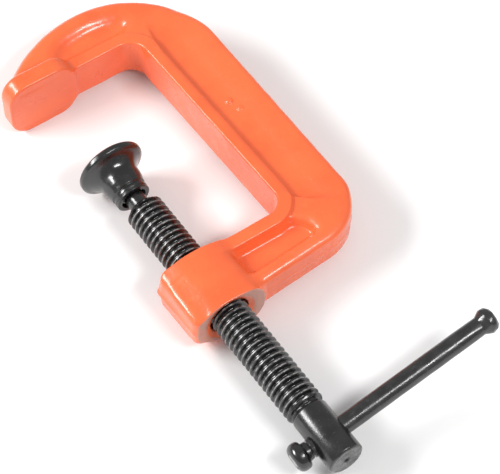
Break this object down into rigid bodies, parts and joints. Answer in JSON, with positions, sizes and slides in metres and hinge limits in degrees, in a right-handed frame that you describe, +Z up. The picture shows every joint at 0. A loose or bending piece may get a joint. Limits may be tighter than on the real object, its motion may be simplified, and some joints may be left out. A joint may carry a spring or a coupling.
{
  "type": "c clamp",
  "caption": "Cast C clamp with a screw spindle, sliding tommy bar and ball-jointed swivel pad that presses work against the anvil.",
  "frame": {"origin": "centre of the anvil's clamping face, on the screw axis", "axes": "+Y along the screw towards the anvil, +X from the screw to the spine, +Z up, square to the frame's plane, the clamp lying on its side"},
  "size_m": [0.0587, 0.1451, 0.0208],
  "materials": {
    "enamel": "glossy orange enamel over a sand-cast surface",
    "black_oxide": "semi-gloss black oxide, worn bright on crests and ends",
    "spring_steel": "bright drawn wire"
  },
  "bodies": {
    "frame": {"frame": "enamel"},
    "feed": {"pad_retaining_ring": "spring_steel"},
    "screw": {"spindle": "black_oxide"},
    "pad": {"swivel_pad": "black_oxide"},
    "bar": {"tommy_bar": "black_oxide", "tommy_bar_knob": "black_oxide"}
  },
  "joints": [
    {"name": "screw_feed", "type": "slide", "parent": "frame", "child": "feed", "axis": [0, 1, 0], "range_m": [-0.02551, 0.02466]},
    {"name": "screw_turn", "type": "hinge", "parent": "feed", "child": "screw", "pos_m": [0, -0.0339, 0], "axis": [0, 1, 0], "range_deg": [-5400, 5220]},
    {"name": "pad_tilt", "type": "hinge", "parent": "feed", "child": "pad", "pos_m": [0, -0.0339, 0], "axis": [0, 0, 1], "range_deg": [-6, 6]},
    {"name": "bar_slide", "type": "slide", "parent": "screw", "child": "bar", "axis": [0.9813, 0, 0.1925], "range_m": [-0.0392, 0]}
  ],
  "couplings": [
    {"joint": "screw_feed", "follows": "screw_turn", "m_per_rad": 0.00027056}
  ]
}
